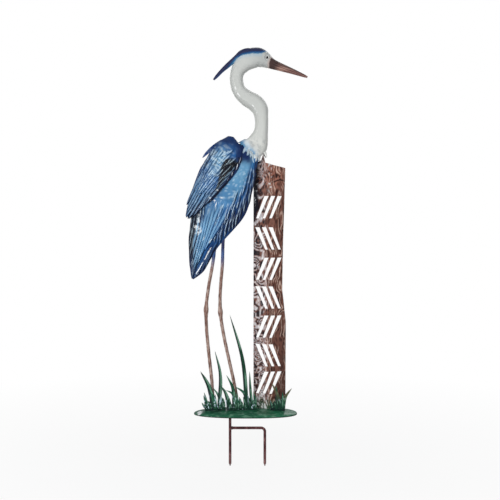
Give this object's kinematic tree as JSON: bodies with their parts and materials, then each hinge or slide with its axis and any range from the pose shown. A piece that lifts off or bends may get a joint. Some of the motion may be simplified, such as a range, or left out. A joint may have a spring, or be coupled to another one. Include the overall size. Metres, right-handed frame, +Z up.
{
  "type": "heron garden stake",
  "caption": "Painted sheet metal heron standing beside a bark post with pierced slanted strokes, on an oval ground plate with grass, held in soil by a two-pronged stake.",
  "frame": {"origin": "ground level: the centre of the ground plate's flat underside, which lies on the soil", "axes": "+Z up along the post, +X the way the heron looks, +Y away from the side with the near wing; the stake's prongs reach down from the plate"},
  "size_m": [0.2949, 0.108, 1.0128],
  "materials": {
    "pale_grey_paint": "glossy pale grey paint, with a navy crown and crest and a brown beak",
    "feather_blue_paint": "glossy brushed blue paint over raised feathers, pale in the middle and navy at the margins",
    "wing_blue_paint": "glossy navy and blue paint with whitish brushed feather streaks",
    "leg_grey_paint": "satin beige-grey paint with brown wear",
    "bark_brown_paint": "reddish-brown bark paint with tan dry-brushed ridges and grey patches",
    "grass_green_paint": "glossy green paint, darker in the creases",
    "stake_brown_paint": "satin dark maroon-brown paint"
  },
  "bodies": {
    "root": {"neck_and_head": "pale_grey_paint", "body_with_tail": "feather_blue_paint", "near_wing": "wing_blue_paint", "far_wing": "wing_blue_paint", "left_leg": "leg_grey_paint", "right_leg": "leg_grey_paint", "bark_post": "bark_brown_paint", "ground_plate": "grass_green_paint", "grass_far_left": "grass_green_paint", "grass_left": "grass_green_paint", "grass_middle": "grass_green_paint", "grass_tall": "grass_green_paint", "grass_right": "grass_green_paint", "stake_rod": "stake_brown_paint", "stake_branch": "stake_brown_paint"}
  },
  "joints": []
}
